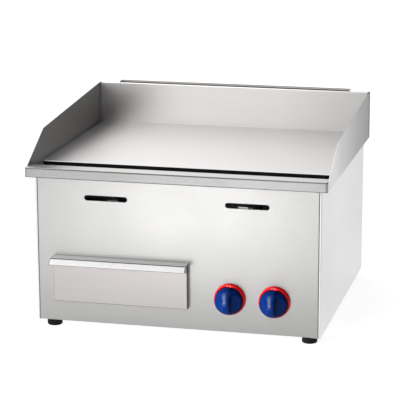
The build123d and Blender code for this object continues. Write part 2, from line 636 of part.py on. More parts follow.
def bezel(x):
    """Dished ring round the knob."""
    r, wall, base = BEZEL_RADIUS, 3.2, 2.0
    ring = turned_y([(8, Y_PANEL), (8, Y_PANEL - base), (r - wall, Y_PANEL - base), (r - wall, BEZEL_FRONT),
                     (r - 1.2, BEZEL_FRONT), (r, Y_PANEL - base), (r, Y_PANEL)], x, VALVE_Z)
    rims = ring.edges().filter_by(GeomType.CIRCLE).filter_by_position(Axis.Y, BEZEL_FRONT, BEZEL_FRONT)
    ring = fillet(rims, 0.9)
    for offset_x in (-BEZEL_SCREW, BEZEL_SCREW):
        ring -= rod_y(SCREW_HOLE, Y_PANEL - 5, Y_PANEL + 1, x + offset_x, VALVE_Z)
    return ring


def knob(x):
    """Domed knob whose two flanks meet in an upright grip ridge."""
    rise = KNOB_SHOULDER - KNOB_FRONT
    shoulder = KNOB_RADIUS - 0.6
    halfway = shoulder * 0.62
    dome_radius = (shoulder ** 2 + rise ** 2) / (2 * rise)
    dome_depth = dome_radius - math.sqrt(dome_radius ** 2 - halfway ** 2)
    side = Line((KNOB_RADIUS, KNOB_BACK), (shoulder, KNOB_SHOULDER))
    dome = ThreePointArc((shoulder, KNOB_SHOULDER), (halfway, KNOB_FRONT + dome_depth), (0, KNOB_FRONT))
    close = Polyline((0, KNOB_FRONT), (0, KNOB_BACK), (KNOB_RADIUS, KNOB_BACK))
    body = revolve(make_face(side.edges() + dome.edges() + close.edges()), Axis.Y)
    ridge, foot = 4.6, KNOB_SHOULDER - 1.0
    for flank in (-1, 1):
        near = (flank * ridge, KNOB_FRONT - 2)
        far = (flank * (KNOB_RADIUS + 3), foot)
        sag = (flank * (ridge + 6.5), KNOB_FRONT + 8.6)
        cut = ThreePointArc(near, sag, far)
        rest = Polyline(far, (flank * (KNOB_RADIUS + 3), KNOB_FRONT - 2), near)
        body -= extrude(Plane.XY.offset(-40) * make_face(cut.edges() + rest.edges()), 80)
    hub = rod_y(7.0, KNOB_SHOULDER, KNOB_BACK + 2, 0, 0)
    body -= rod_y(KNOB_RADIUS - 3.3, KNOB_SHOULDER + 2, KNOB_BACK + 1, 0, 0) - hub
    bore = rod_y(STEM + 0.02, STEM_FRONT - 0.2, KNOB_BACK + 1, 0, 0)
    bore -= block(-4, 4, STEM_FRONT - 1, STEM_FRONT + 13, 2.22, 4)
    return Pos(x, 0, VALVE_Z) * (body - bore)


def bezel_screws():
    screws = []
    front = Y_PANEL - 2.0
    for x in VALVE_X:
        for offset_x in (-BEZEL_SCREW, BEZEL_SCREW):
            place = x + offset_x
            head = rod_y(3.4, front - 1.3, front, place, VALVE_Z)
            screws.append(head + rod_y(SCREW_HOLE - 0.15, front, front + 7, place, VALVE_Z))
    return group(screws)


def bonnet_screws():
    screws = []
    front = VALVE_FRONT - 2.5
    for x in VALVE_X:
        for offset_x in (-BONNET_SCREW, BONNET_SCREW):
            place = x + offset_x
            head = rod_y(2.9, front - 2.0, front, place, VALVE_Z)
            screws.append(head + rod_y(1.5, front, front + 7.4, place, VALVE_Z))
    return group(screws)


# ---------------------------------------------------------------- drawer
FACE_Y = Y_PANEL - 12.0
FACE_BACK = Y_PANEL - GAP
HANDLE_HALF = 125.8
HANDLE_DROP = 9.2            # from the handle's shelf down to the edge of its lip
RUNNER_Z = TRAY_Z - 0.4
BRACKETS_Y = (Y_FASCIA + 60.0, Y_FASCIA + 370.0)


def drawer_front():
    half = FRONT_WIDTH / 2
    x0, x1 = DRAWER_X - half, DRAWER_X + half
    pan = block(x0, x1, FACE_Y, FACE_BACK, FRONT_LOW, FRONT_HIGH)
    face_edges = pan.faces().sort_by(Axis.Y)[0].edges()
    pan = fillet(face_edges, 1.0)
    return pan - block(x0 + SHEET, x1 - SHEET, FACE_Y + SHEET, FACE_BACK + 1, FRONT_LOW + SHEET, FRONT_HIGH - SHEET)


def drawer_handle():
    top = FRONT_HIGH + SHEET
    tip = Y_FASCIA - HANDLE_REACH + 0.85
    profile = [(FACE_BACK, top), (Y_FASCIA - 8.5, top), (tip - 0.85, top - HANDLE_DROP + 0.5)]
    return fold_x(profile, DRAWER_X - HANDLE_HALF, DRAWER_X + HANDLE_HALF, bend=2.6)


def drawer_tray():
    half = TRAY_WIDTH / 2
    y0 = FACE_Y + SHEET
    tray = block(DRAWER_X - half, DRAWER_X + half, y0, y0 + TRAY_LENGTH, TRAY_Z, TRAY_Z + TRAY_HEIGHT)
    tray = fillet(tray.edges().filter_by(Axis.Y).sort_by(Axis.Z)[:2], 4.0)
    hollow = block(DRAWER_X - half + LINER, DRAWER_X + half - LINER, y0 + LINER, y0 + TRAY_LENGTH - LINER,
                   TRAY_Z + LINER, TRAY_Z + TRAY_HEIGHT + 20)
    hollow = fillet(hollow.edges().filter_by(Axis.Y).sort_by(Axis.Z)[:2], 3.0)
    return tray - hollow


def runner(side):
    """Angle that carries one lower edge of the tray."""
    web = TRAY_WIDTH / 2 + 0.5
    low = RUNNER_Z - SHEET
    x0, x1 = sorted((DRAWER_X + side * web, DRAWER_X + side * (web + SHEET)))
    rail = block(x0, x1, Y_PANEL + 4, Y_PANEL + TRAY_LENGTH, low, low + 26)
    x0, x1 = sorted((DRAWER_X + side * (web - 14), DRAWER_X + side * (web + SHEET)))
    return rail + block(x0, x1, Y_PANEL + 4, Y_PANEL + TRAY_LENGTH, low, low + SHEET)


def runner_brackets():
    """Four channels that stand on the base and carry the runners."""
    floor, top = Z_BASE + SHEET, RUNNER_Z - SHEET
    brackets = []
    for side in (-1, 1):
        inner = DRAWER_X + side * (TRAY_WIDTH / 2 - 13)
        outer = DRAWER_X + side * (TRAY_WIDTH / 2 + 1.5)
        profile = [(inner, top), (outer, top), (outer, floor), (inner, floor)]
        if side > 0:
            profile.reverse()
        for y in BRACKETS_Y:
            brackets.append(fold_y(profile, y, y + 30))
    return group(brackets)


# ---------------------------------------------------------------- every piece by name
def pieces():
    left_valve, right_valve = VALVE_X
    side_panel = right_side_panel()
    guard = right_splash_guard()
    rail = right_plate_rail()
    yield "front_panel", front_panel()
    yield "right_side_panel", side_panel
    yield "left_side_panel", mirrored(side_panel)
    yield "rear_panel", rear_panel()
    yield "rear_panel_screws", rear_panel_screws()
    yield "base_pan", base_pan()
    yield "rubber_feet", rubber_feet()
    yield "foot_screws", foot_screws()
    yield "front_surround", front_surround()
    yield "right_splash_guard", guard
    yield "left_splash_guard", mirrored(guard)
    yield "rear_splash", rear_splash()
    yield "flue_duct", flue_duct()
    yield "griddle_plate", griddle_plate()
    yield "right_plate_rail", rail
    yield "left_plate_rail", mirrored(rail)
    yield "grease_gutter", grease_gutter()
    yield "drain_pipe", drain_pipe()
    yield "combustion_box", combustion_box()
    yield "front_burner_bar", burner_bar(Y_BARS[0])
    yield "rear_burner_bar", burner_bar(Y_BARS[1])
    yield "drawer_heat_shield", drawer_heat_shield()
    yield "gas_manifold", gas_manifold()
    yield "supply_pipe", supply_pipe()
    yield "inlet_fitting", inlet_fitting()
    yield "inlet_locknut", inlet_locknut()
    yield "left_gas_pipe", gas_pipe(left_valve, -BURNER_X, Z_BAR - 22)
    yield "right_gas_pipe", gas_pipe(right_valve, BURNER_X, Z_BAR - 42)
    for side, burner_x, valve_x in (("left", -BURNER_X, left_valve), ("right", BURNER_X, right_valve)):
        yield side + "_burner", burner(burner_x)
        yield side + "_air_shutter", air_shutter(burner_x)
        yield side + "_injector_holder", injector_holder(burner_x)
        yield side + "_injector", injector(burner_x)
        yield side + "_valve", valve(valve_x)
        yield side + "_valve_bonnet", valve_bonnet(valve_x)
        yield side + "_valve_plug", valve_plug(valve_x)
        yield side + "_valve_spring", valve_spring(valve_x)
        yield side + "_spring_cup", spring_cup(valve_x)
        yield side + "_valve_stem", valve_stem(valve_x)
        yield side + "_bezel", bezel(valve_x)
        yield side + "_knob", knob(valve_x)
    yield "bezel_screws", bezel_screws()
    yield "bonnet_screws", bonnet_screws()
    yield "drawer_tray", drawer_tray()
    yield "drawer_front", drawer_front()
    yield "drawer_handle", drawer_handle()
    yield "left_drawer_runner", runner(-1)
    yield "right_drawer_runner", runner(1)
    yield "runner_brackets", runner_brackets()


os.makedirs("parts", exist_ok=True)
for name, shape in pieces():
    export_step(shape, os.path.join("parts", name + ".step"))
    print(name, len(shape.solids()))
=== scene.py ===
import json
import math

import bmesh
import bpy
from mathutils import Matrix, Vector


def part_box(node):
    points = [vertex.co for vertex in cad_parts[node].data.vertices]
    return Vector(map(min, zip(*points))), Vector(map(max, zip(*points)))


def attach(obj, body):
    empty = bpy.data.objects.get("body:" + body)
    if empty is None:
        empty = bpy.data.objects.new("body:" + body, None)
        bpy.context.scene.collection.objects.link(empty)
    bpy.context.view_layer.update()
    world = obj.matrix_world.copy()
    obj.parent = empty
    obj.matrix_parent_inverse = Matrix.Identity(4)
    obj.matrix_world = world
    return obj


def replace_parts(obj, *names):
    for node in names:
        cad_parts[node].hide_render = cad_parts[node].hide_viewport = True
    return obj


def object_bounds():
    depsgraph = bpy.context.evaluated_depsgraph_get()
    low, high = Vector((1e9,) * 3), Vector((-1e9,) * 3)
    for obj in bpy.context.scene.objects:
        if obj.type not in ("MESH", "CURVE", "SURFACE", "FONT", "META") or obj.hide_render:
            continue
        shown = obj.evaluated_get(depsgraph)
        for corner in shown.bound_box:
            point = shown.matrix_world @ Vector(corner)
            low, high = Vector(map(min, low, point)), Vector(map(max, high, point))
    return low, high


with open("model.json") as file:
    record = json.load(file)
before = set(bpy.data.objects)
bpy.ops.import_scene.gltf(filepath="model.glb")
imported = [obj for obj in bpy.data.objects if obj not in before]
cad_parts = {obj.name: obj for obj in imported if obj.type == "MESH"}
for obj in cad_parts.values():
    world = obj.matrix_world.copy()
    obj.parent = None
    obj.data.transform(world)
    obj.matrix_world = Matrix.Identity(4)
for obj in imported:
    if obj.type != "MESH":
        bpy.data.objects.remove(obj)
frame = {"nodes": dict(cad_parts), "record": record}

# Looks for the flat top griddle. Metres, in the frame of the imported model:
# +X is the user's right, +Y runs from the front to the back, +Z is up.

CAD_LOW, CAD_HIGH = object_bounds()
NODES = frame["nodes"]
SIDES = ("left", "right")
MM = 0.001
ALONG_X = (1.0, 0.0, 0.0)
ALONG_Y = (0.0, 1.0, 0.0)
OFF_AXIS = (0.03, 0.03, 0.02)


def place_in_scene(name, data):
    """A new object of the scene around its mesh, lamp or camera data."""
    thing = bpy.data.objects.new(name, data)
    bpy.context.scene.collection.objects.link(thing)
    return thing


# ---------------------------------------------------------------- shader helper
# The colour sockets of a Mix node, which share their names with its other sockets.
MIX_LOW, MIX_HIGH, MIX_RESULT = 6, 7, 2


class Look:
    """A procedural material, built up step by step around one Principled shader."""

    def __init__(self, name, **constants):
        self.material = bpy.data.materials.new(name)
        self.material.use_nodes = True
        self.tree = self.material.node_tree
        self.shader = self.tree.nodes["Principled BSDF"]
        self.coordinates = self.tree.nodes.new("ShaderNodeTexCoord").outputs["Object"]
        for socket, value in constants.items():
            self.shader.inputs[socket.replace("_", " ")].default_value = value

    def add(self, kind, **settings):
        node = self.tree.nodes.new(kind)
        for key, value in settings.items():
            setattr(node, key, value)
        return node

    def feed(self, socket, value):
        if isinstance(value, bpy.types.NodeSocket):
            self.tree.links.new(value, socket)
        else:
            socket.default_value = value

    def math(self, operation, a, b=0.0):
        node = self.add("ShaderNodeMath", operation=operation)
        self.feed(node.inputs[0], a)
        self.feed(node.inputs[1], b)
        return node.outputs[0]

    def stretched(self, per_metre, shift=(0.0, 0.0, 0.0)):
        """Object coordinates times a number of pattern cells per metre on each axis."""
        node = self.add("ShaderNodeMapping")
        self.feed(node.inputs["Vector"], self.coordinates)
        node.inputs["Scale"].default_value = per_metre
        node.inputs["Location"].default_value = shift
        return node.outputs[0]

    def noise(self, per_metre, detail=3.0, rough=0.55, shift=(0.0, 0.0, 0.0), warp=0.0):
        node = self.add("ShaderNodeTexNoise")
        self.feed(node.inputs["Vector"], self.stretched(per_metre, shift))
        node.inputs["Scale"].default_value = 1.0
        node.inputs["Detail"].default_value = detail
        node.inputs["Roughness"].default_value = rough
        node.inputs["Distortion"].default_value = warp
        return node.outputs["Fac"]

    def crystals(self, per_metre):
        """Small cells, each of one random tone."""
        node = self.add("ShaderNodeTexVoronoi", feature="F1")
        self.feed(node.inputs["Vector"], self.stretched(per_metre))
        node.inputs["Scale"].default_value = 1.0
        return node.outputs["Color"]

    def between(self, value, start, end, low=0.0, high=1.0):
        """Straight ramp: low where the value is at start, high where it is at end, flat beyond both."""
        node = self.add("ShaderNodeMapRange")
        for socket, given in zip(node.inputs[:5], (value, start, end, low, high)):
            self.feed(socket, given)
        return node.outputs[0]

    def scratches(self, per_metre, width=0.02, turn=(0.0, 0.0, 0.6)):
        """Thin sparse lines: the zero crossings of a long stretched noise."""
        node = self.add("ShaderNodeMapping")
        self.feed(node.inputs["Vector"], self.coordinates)
        node.inputs["Scale"].default_value = per_metre
        node.inputs["Rotation"].default_value = turn
        texture = self.add("ShaderNodeTexNoise")
        self.feed(texture.inputs["Vector"], node.outputs[0])
        texture.inputs["Scale"].default_value = 1.0
        texture.inputs["Detail"].default_value = 0.0
        distance = self.math("ABSOLUTE", self.math("SUBTRACT", texture.outputs["Fac"], 0.5))
        return self.between(distance, 0.0, width, 1.0, 0.0)

    def varied(self, level, changes):
        """A level moved up and down by (pattern, amount) pairs, about the middle of each pattern."""
        for pattern, amount in changes:
            swing = self.math("MULTIPLY", self.math("SUBTRACT", pattern, 0.5), amount)
            level = self.math("ADD", swing, level)
        return level

    def ground(self):
        """What feeds the base colour so far."""
        return self.shader.inputs["Base Color"].links[0].from_socket

    def scaled_colour(self, colour, level):
        node = self.add("ShaderNodeVectorMath", operation="SCALE")
        self.feed(node.inputs[0], colour)
        self.feed(node.inputs["Scale"], level)
        self.feed(self.shader.inputs["Base Color"], node.outputs[0])

    def mixed_colour(self, factor, low, high):
        node = self.add("ShaderNodeMix", data_type="RGBA")
        self.feed(node.inputs["Factor"], factor)
        self.feed(node.inputs[MIX_LOW], low)
        self.feed(node.inputs[MIX_HIGH], high)
        self.feed(self.shader.inputs["Base Color"], node.outputs[MIX_RESULT])

    def colour(self, base, *changes):
        """Base colour, made lighter and darker by (pattern, amount) pairs."""
        self.scaled_colour(base, self.varied(1.0, changes))

    def shade(self, *changes):
        """Base colour scaled by one plus the sum of pattern times amount."""
        level = 1.0
        for pattern, amount in changes:
            level = self.math("ADD", self.math("MULTIPLY", pattern, amount), level)
        self.scaled_colour(self.ground(), level)

    def darker_sides(self, dark):
        """A second colour on the faces that stand upright."""
        flat = self.between(self.math("ABSOLUTE", self.facing("Z")), 0.4, 0.6)
        self.mixed_colour(flat, dark, self.ground())

    def part_of(self, vector, axis):
        split = self.add("ShaderNodeSeparateXYZ")
        self.tree.links.new(vector, split.inputs[0])
        return split.outputs[axis]

    def position(self, axis):
        """Metres along X, Y or Z in the object's own coordinates."""
        return self.part_of(self.coordinates, axis)

    def facing(self, axis):
        """Component of the surface's direction along X, Y or Z."""
        return self.part_of(self.coordinates.node.outputs["Normal"], axis)

    def off_middle(self, axis, middle=0.0):
        """Distance to either side of a middle plane."""
        return self.math("ABSOLUTE", self.math("SUBTRACT", self.position(axis), middle))

    def seam(self, value, at, width):
        """One on a line where a value passes a level, fading to nothing within a width."""
        distance = self.math("ABSOLUTE", self.math("SUBTRACT", value, at))
        return self.between(distance, width * 0.4, width, 1.0, 0.0)

    def roughness(self, base, *changes):
        """Roughness varied by (pattern, amount) pairs, and never a mirror."""
        clamp = self.add("ShaderNodeClamp")
        self.feed(clamp.inputs["Value"], self.varied(base, changes))
        clamp.inputs["Min"].default_value = 0.05
        self.feed(self.shader.inputs["Roughness"], clamp.outputs[0])

    def relief(self, *heights):
        """Bump from (pattern, depth in metres) pairs."""
        normal = None
        for pattern, depth in heights:
            node = self.add("ShaderNodeBump")
            node.inputs["Strength"].default_value = 1.0
            node.inputs["Distance"].default_value = depth
            self.feed(node.inputs["Height"], pattern)
            if normal is not None:
                self.feed(node.inputs["Normal"], normal)
            normal = node.outputs["Normal"]
        self.feed(self.shader.inputs["Normal"], normal)

    def across(self, axis):
        """Highlights stretch across the grain that runs along this axis."""
        surface = self.add("ShaderNodeNewGeometry")
        node = self.add("ShaderNodeVectorMath", operation="CROSS_PRODUCT")
        self.feed(node.inputs[0], surface.outputs["Normal"])
        node.inputs[1].default_value = [part + slant for part, slant in zip(axis, OFF_AXIS)]
        self.feed(self.shader.inputs["Tangent"], node.outputs[0])


def grain(axis, across, along):
    """Cells per metre of a pattern whose lines run along an axis."""
    return tuple(along if part else across for part in axis)


# ---------------------------------------------------------------- metals
def brushed_steel(name, colour, roughness, axis, anisotropic=0.55, cloud=0.05, streak=0.06):
    """Stainless sheet with a brushed grain, handling smudges and a few hairline scratches."""
    look = Look(name, Metallic=1.0, Anisotropic=anisotropic)
    lines = look.noise(grain(axis, 2400.0, 9.0), detail=2.0)
    bands = look.noise(grain(axis, 300.0, 1.6), detail=3.0, shift=(3.1, 7.7, 1.9))
    smudges = look.noise((11.0, 11.0, 11.0), detail=5.0, rough=0.6, warp=0.4)
    hairlines = look.scratches(grain(axis, 110.0, 5.0), width=0.004, turn=(0.02, 0.03, 0.03))
    look.colour(colour, (bands, streak), (smudges, cloud), (lines, 0.05))
    look.roughness(roughness, (lines, 0.12), (smudges, 0.10), (hairlines, 0.06))
    look.relief((lines, 0.000006), (hairlines, 0.000004))
    look.across(axis)
    return look


def fascia_sheet():
    """Front surround: a painted highlight on its upward-facing lip, painted shade across its middle, and
    painted shade lines along its top bend and lower edge.
    """
    look = brushed_steel("fascia_sheet", (0.266, 0.263, 0.261), 0.28, ALONG_X)
    low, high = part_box("front_surround")
    height = look.position("Z")
    # Painted light and shade: the upward-facing lip made lighter, the middle darker, and dark lines along the
    # top bend and lower edge.
    look.shade((look.between(look.facing("Z"), 0.80, 0.97), 0.62),
               (look.seam(look.position("X"), -0.01, 0.24), -0.20),
               (look.seam(height, high.z - 1.6 * MM, 1.2 * MM), -0.55),
               (look.seam(height, low.z + 0.2 * MM, 1.4 * MM), -0.65))
    return look.material


def splash_sheet():
    """Rear splash, with painted shade in the seams beside the guards and a little painted shade towards the
    right.
    """
    look = brushed_steel("splash_sheet", (0.88, 0.865, 0.855), 0.34, ALONG_X, anisotropic=0.3)
    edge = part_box("rear_splash")[1].x
    # Painted shade: dark strips in the corners beside the guards and a darker right end.
    look.shade((look.between(look.off_middle("X"), edge - 5.0 * MM, edge - 1.5 * MM), -0.8),
               (look.between(look.position("X"), 0.10, 0.27), -0.20))
    return look.material


def guard_sheet():
    """Side guard, with painted shade towards the flue, deeper on its outer face, and a painted highlight on
    the front of its outer face.
    """
    look = brushed_steel("guard_sheet", (0.58, 0.575, 0.57), 0.45, ALONG_Y, anisotropic=0.8)
    low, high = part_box("left_splash_guard")
    # Painted shade that deepens towards the flue, and painted light on the front of the outer face.
    shade_to_flue = look.between(look.position("Y"), low.y + 60.0 * MM, high.y)
    outward = look.between(look.math("MULTIPLY", look.facing("X"), look.position("X")), -0.1, 0.1)
    painted_light_front = look.math("MULTIPLY", outward, look.math("POWER", look.math("SUBTRACT", 1.0, shade_to_flue), 2.0))
    look.shade((shade_to_flue, -0.52), (painted_light_front, 0.36), (look.math("MULTIPLY", outward, shade_to_flue), -0.13))
    return look.material


def handle_sheet():
    """Drawer handle: a painted highlight on its shelf, and painted shade lines along its bend, its rear edge,
    its lip and its cut ends.
    """
    look = brushed_steel("handle_sheet", (0.60, 0.596, 0.596), 0.22, ALONG_X, cloud=0.03)
    low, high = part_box("drawer_handle")
    half = (high.x - low.x) / 2
    bend = low.y + 11.6 * MM
    shelf = look.between(look.facing("Z"), 0.96, 0.99)
    bend_line = look.seam(look.position("Y"), bend, 1.7 * MM)
    rear_edge = look.between(look.position("Y"), high.y - 2.2 * MM, high.y - 1.6 * MM)
    lip_edge = look.between(look.position("Z"), low.z + 1.3 * MM, low.z + 0.8 * MM)
    ends = look.between(look.off_middle("X", (low.x + high.x) / 2), half - 1.3 * MM, half - 0.8 * MM)
    # Painted light on the shelf and painted shade lines along the bend, the rear edge, the lip and the cut
    # ends.
    for change in ((shelf, 0.45), (bend_line, -0.93), (rear_edge, -0.6), (lip_edge, -0.55), (ends, -0.75)):
        look.shade(change)
    return look.material


def drawer_sheet():
    """Drawer front, with a painted shadow below its handle and painted shade along its foot and down its
    ends.
    """
    look = brushed_steel("drawer_sheet", (0.392, 0.371, 0.370), 0.40, ALONG_X, streak=0.09)
    low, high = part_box("drawer_front")
    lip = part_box("drawer_handle")[0].z
    half = (high.x - low.x) / 2
    ends = look.between(look.off_middle("X", (low.x + high.x) / 2), half - 0.2 * MM, half - 0.05 * MM)
    # Painted shadow under the handle's lip and painted shade lines along the foot and the ends.
    look.shade((look.between(look.position("Z"), lip - 7.6 * MM, lip - 6.2 * MM), -0.55),
               (look.between(look.position("Z"), low.z + 1.2 * MM, low.z + 0.7 * MM), -0.6),
               (ends, -0.6))
    return look.material


def side_sheet():
    """Side panel: a painted shade line at the front panel's edge, painted shade towards the back and painted
    light at its foot.
    """
    look = brushed_steel("side_sheet", (0.62, 0.615, 0.61), 0.34, ALONG_Y)
    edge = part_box("front_panel")[1].x
    # Painted shade in the seam and towards the back, and painted light low on the panel.
    look.shade((look.seam(look.off_middle("X"), edge + 0.9 * MM, 1.7 * MM), -0.85),
               (look.between(look.position("Y"), -0.02, 0.22), -0.12),
               (look.between(look.position("Z"), 0.15, 0.03), 0.16))
    return look.material


def flue_sheet():
    """Flue duct: bright outside, pale with ash inside its rim, black below with soot deepened by painted
    shade, and a painted shade line along its top edge.
    """
    look = Look("flue_sheet")
    low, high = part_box("flue_duct")
    film = look.noise((40.0, 40.0, 40.0), detail=4.0)
    rub = look.noise((30.0, 900.0, 900.0), detail=2.0)
    look.colour((0.86, 0.82, 0.80), (film, 0.14), (rub, 0.06))
    below_rim = look.math("SUBTRACT", high.z - 3.4 * MM, look.position("Z"))
    between_ends = look.between(look.off_middle("X"), high.x - 0.5 * MM, high.x - 0.3 * MM, 1.0, 0.0)
    off_back = look.between(look.facing("Y"), 0.4, 0.6, 1.0, 0.0)
    lining = look.math("MULTIPLY", between_ends, off_back)
    soot = look.math("MULTIPLY", look.between(below_rim, -0.3 * MM, 0.3 * MM), lining)
    look.feed(look.shader.inputs["Metallic"], look.between(lining, 0.0, 1.0, 0.85, 0.0))
    # Soot inside the duct, taken down to near black as painted shade of the deep interior.
    look.shade((soot, -0.985))
    # Painted shade line along the top edge of the rim.
    look.shade((look.between(look.position("Z"), high.z - 0.9 * MM, high.z - 0.6 * MM), -0.85))
    look.roughness(0.42, (film, 0.14), (rub, 0.08), (soot, 0.4))
    look.relief((rub, 0.000006), (film, 0.00002))
    return look.material


def ground_plate(name):
    """Thick steel cooking plate, ground flat: fine crossed marks, faint oil clouds, painted shade towards the
    back and on its upright edges.
    """
    look = Look(name, Metallic=1.0, Anisotropic=0.25)
    lines = look.noise(grain(ALONG_X, 1800.0, 14.0), detail=2.0)
    crossed = look.noise(grain(ALONG_Y, 900.0, 20.0), detail=2.0, shift=(5.0, 1.0, 0.0))
    clouds = look.noise((7.0, 7.0, 7.0), detail=4.0, warp=0.6)
    scraper = look.scratches((16.0, 90.0, 4.0), width=0.004, turn=(0.0, 0.0, 0.15))
    look.colour((0.62, 0.61, 0.605), (clouds, 0.07), (lines, 0.05), (crossed, 0.03))
    # Painted shade, darker towards the back.
    look.shade((look.between(look.position("Y"), 0.05, 0.25), -0.14))
    # Painted shade: the upright edges of the plate near black.
    look.darker_sides((0.028, 0.028, 0.030, 1.0))
    look.roughness(0.40, (clouds, 0.10), (lines, 0.08), (crossed, 0.06), (scraper, 0.08))
    look.relief((lines, 0.000005), (crossed, 0.000003), (scraper, 0.000004))
    look.across(ALONG_X)
    return look.material


def galvanised(name, colour, roughness):
    """Zinc-coated sheet with a spangle of small crystals."""
    look = Look(name, Metallic=1.0)
    spangle = look.crystals((160.0, 160.0, 160.0))
    clouds = look.noise((14.0, 14.0, 14.0), detail=4.0)
    lines = look.noise((700.0, 30.0, 700.0), detail=2.0)
    look.colour(colour, (spangle, 0.16), (clouds, 0.12), (lines, 0.04))
    look.roughness(roughness, (spangle, 0.14), (clouds, 0.12))
    look.relief((lines, 0.000008), (spangle, 0.000006))
    return look.material


def turned_metal(name, colour, roughness, pitch=900.0):
    """Machined metal with fine tool marks and a slight tarnish."""
    look = Look(name, Metallic=1.0)
    marks = look.noise((60.0, pitch, 60.0), detail=2.0)
    tarnish = look.noise((55.0, 55.0, 55.0), detail=4.0, warp=0.5)
    look.colour(colour, (tarnish, 0.22), (marks, 0.08))
    look.roughness(roughness, (tarnish, 0.16), (marks, 0.10))
    look.relief((marks, 0.00001))
    return look.material


def burnt_steel(name):
    """Blackened burner tube: soot, and scale with a little rust on the high spots."""
    look = Look(name, Metallic=0.6)
    scale = look.noise((120.0, 120.0, 120.0), detail=5.0, rough=0.65)
    pits = look.noise((600.0, 600.0, 600.0), detail=2.0)
    soot, rust = (0.014, 0.013, 0.013, 1.0), (0.07, 0.057, 0.048, 1.0)
    look.mixed_colour(look.between(scale, 0.35, 0.75), soot, rust)
    look.roughness(0.62, (scale, 0.25), (pits, 0.10))
    look.relief((scale, 0.00012), (pits, 0.00004))
    return look.material


def painted_pipe(name):
    """Grey pipe paint with a fine orange peel and some dust."""
    look = Look(name, Metallic=0.0, Coat_Weight=0.15, Coat_Roughness=0.3)
    peel = look.noise((420.0, 420.0, 420.0), detail=3.0)
    dust = look.noise((30.0, 30.0, 30.0), detail=4.0)
    look.colour((0.11, 0.115, 0.12), (peel, 0.14), (dust, 0.30))
    look.roughness(0.48, (peel, 0.12), (dust, 0.16))
    look.relief((peel, 0.00003))
    return look.material


# ---------------------------------------------------------------- plastics and rubber
def gloss_plastic(name, colour, roughness, flow):
    """Moulded plastic: deep colour, faint flow lines, wiping marks and a clear gloss."""
    look = Look(name, Coat_Weight=0.05, Coat_Roughness=0.10, Specular_IOR_Level=0.05)
    lines = look.noise((90.0, 20.0, 260.0), detail=3.0, warp=0.3)
    wipes = look.scratches((500.0, 60.0, 60.0), width=0.010, turn=(0.4, 0.2, 0.7))
    mottle = look.noise((1100.0, 1100.0, 1100.0), detail=2.0)
    look.colour(colour, (lines, flow), (mottle, 0.06))
    look.roughness(roughness, (lines, 0.10), (wipes, 0.16), (mottle, 0.06))
    look.relief((mottle, 0.000012), (wipes, 0.000006))
    return look


def knob_plastic():
    """Blue plastic: polished high on the left edge of the grip's ridge, with painted shade in the right
    hollow and on the skirt.
    """
    look = gloss_plastic("blue_plastic", (0.0006, 0.0082, 0.054), 0.26, 0.14)
    look.shader.inputs["Specular IOR Level"].default_value = 0.01
    look.shader.inputs["Coat IOR"].default_value = 1.9
    polish, painted_shade_hollow = 0.0, 0.0
    for side in SIDES:
        low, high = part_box(side + "_knob")
        middle = (low + high) / 2
        crest = look.seam(look.position("X"), middle.x - 4.2 * MM, 4.6 * MM)
        upper = look.seam(look.position("Z"), middle.z + 7.0 * MM, 13.0 * MM)
        polish = look.math("ADD", polish, look.math("MULTIPLY", crest, upper))
        painted_shade_hollow = look.math("ADD", painted_shade_hollow, look.seam(look.position("X"), middle.x + 6.4 * MM, 3.6 * MM))
    skirt = look.between(look.position("Y"), high.y - 7.0 * MM, high.y - 6.0 * MM)
    # Painted shade in the hollow right of the ridge and round the skirt.
    look.shade((painted_shade_hollow, -0.6), (skirt, -0.35))
    look.feed(look.shader.inputs["Coat Weight"], look.between(polish, 0.0, 1.0, 0.03, 1.0))
    return look.material


def moulded_rubber(name):
    """Black rubber with a fine moulded texture and a grey bloom."""
    look = Look(name, Specular_IOR_Level=0.12)
    texture = look.noise((1500.0, 1500.0, 1500.0), detail=3.0)
    bloom = look.noise((60.0, 60.0, 60.0), detail=4.0)
    look.colour((0.0035, 0.0035, 0.004), (bloom, 0.5), (texture, 0.2))
    look.roughness(0.62, (bloom, 0.20), (texture, 0.12))
    look.relief((texture, 0.00004))
    return look.material


def primed_sheet(name):
    """Thin sheet with a pale, dull primer, a little uneven."""
    look = Look(name, Metallic=0.0, Specular_IOR_Level=0.3)
    film = look.noise((160.0, 160.0, 160.0), detail=4.0)
    grit = look.noise((1200.0, 1200.0, 1200.0), detail=2.0)
    look.colour((0.82, 0.72, 0.68), (film, 0.16), (grit, 0.06))
    look.roughness(0.5, (film, 0.2), (grit, 0.1))
    look.relief((grit, 0.00001))
    return look.material


def printed_white(name):
    """Worn white print, greyed and a little uneven."""
    look = Look(name)
    ink = look.noise((900.0, 900.0, 900.0), detail=3.0)
    look.colour((0.22, 0.21, 0.20), (ink, 0.14))
    look.roughness(0.45, (ink, 0.2))
    look.relief((ink, 0.00001))
    return look.material


